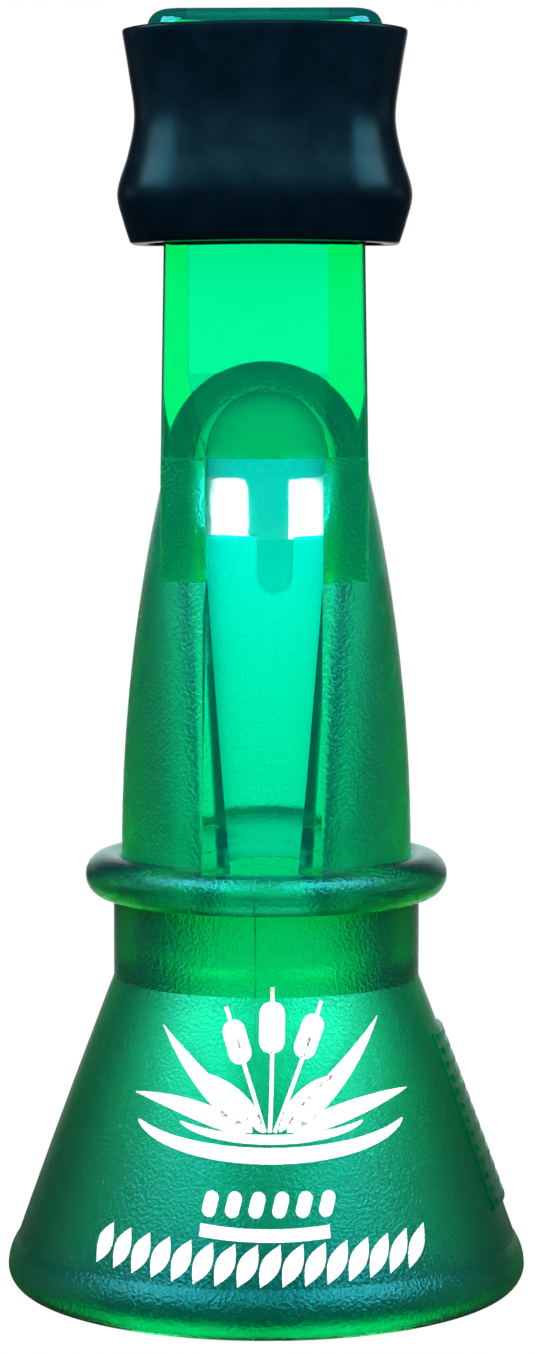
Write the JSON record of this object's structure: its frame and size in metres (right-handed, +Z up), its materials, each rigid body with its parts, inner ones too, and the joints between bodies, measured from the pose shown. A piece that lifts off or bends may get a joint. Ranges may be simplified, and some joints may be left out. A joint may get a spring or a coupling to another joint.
{
  "type": "duck call",
  "caption": "Whistle-type duck call: flat mouthpiece tube with a rubber sleeve, open window over a ramp, domed barrel with a bead ring, and a flared bell.",
  "frame": {"origin": "centre of the bell's rim plane, on which the call stands", "axes": "+Z up the call from the bell to the lip, -Y towards the window and ramp side, +X to the grip-bar side"},
  "size_m": [0.044, 0.044, 0.1073],
  "materials": {
    "grained_green": "translucent, spark-eroded grain",
    "clear_green": "transparent, polished",
    "black_rubber": "satin",
    "white_print": "pad-printed ink"
  },
  "bodies": {
    "call_body": {"bell": "grained_green", "barrel": "grained_green", "mouthpiece": "clear_green", "windway_block": "clear_green"},
    "sleeve": {"mouthpiece_sleeve": "black_rubber"}
  },
  "joints": [
    {"name": "sleeve_pull_off", "type": "slide", "parent": "call_body", "child": "sleeve", "axis": [0, 0, 1], "range_m": [0, 0.024]}
  ]
}
